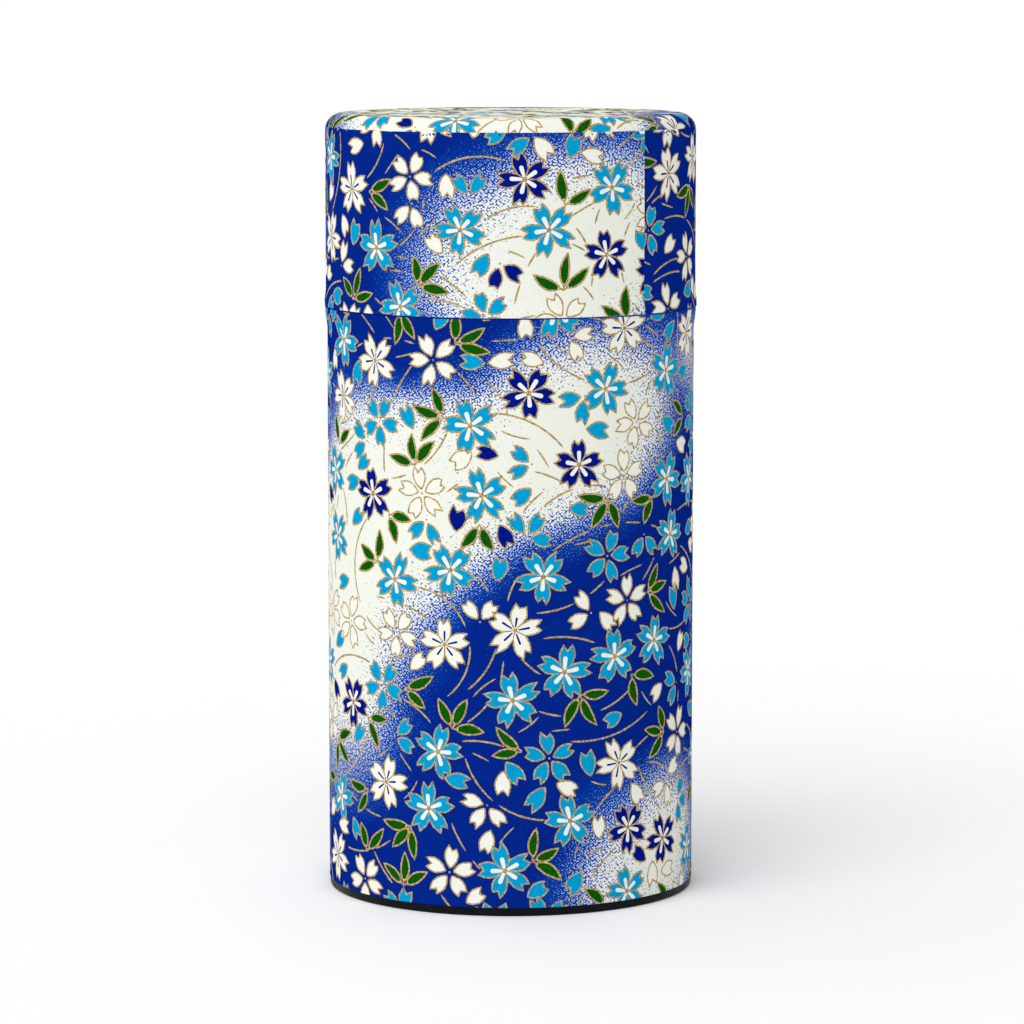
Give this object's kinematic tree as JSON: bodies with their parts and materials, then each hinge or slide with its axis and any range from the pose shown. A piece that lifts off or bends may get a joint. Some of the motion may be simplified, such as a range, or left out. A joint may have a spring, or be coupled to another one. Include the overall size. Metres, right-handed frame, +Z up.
{
  "type": "paper-covered canister",
  "caption": "Round tinplate canister covered in printed paper, with a telescoping outer lid, a raised inner sleeve and a knobbed inner lid.",
  "frame": {"origin": "centre of the base, on the surface that the canister stands on", "axes": "+Z up along the canister's centre line, towards the lid; -Y is the side that shows at the front"},
  "size_m": [0.0776, 0.0776, 0.162],
  "materials": {
    "tinplate": "dull tinplate with a fine rolled grain",
    "bright_tinplate": "bright tinplate with faint rubbing marks",
    "black_lacquer": "satin black lacquer on tinplate",
    "printed_paper": "matt fibrous paper with a screen-printed blossom pattern",
    "knob_plastic": "moulded black, soft gloss",
    "washer_steel": "stamped, dull",
    "rivet_aluminium": "satin"
  },
  "bodies": {
    "can": {"can_tube": "tinplate", "bottom_plate": "black_lacquer", "inner_sleeve": "bright_tinplate", "body_paper": "printed_paper"},
    "inner_lid_body": {"inner_lid": "bright_tinplate", "inner_lid_knob": "knob_plastic", "knob_washer": "washer_steel", "knob_rivet": "rivet_aluminium"},
    "outer_lid_body": {"lid_shell": "tinplate", "lid_side_paper": "printed_paper", "lid_top_paper": "printed_paper"}
  },
  "joints": [
    {"name": "inner_lid_lift", "type": "slide", "parent": "can", "child": "inner_lid_body", "axis": [0, 0, 1], "range_m": [0, 0.08]},
    {"name": "outer_lid_lift", "type": "slide", "parent": "inner_lid_body", "child": "outer_lid_body", "axis": [0, 0, 1], "range_m": [0, 0.09]}
  ]
}
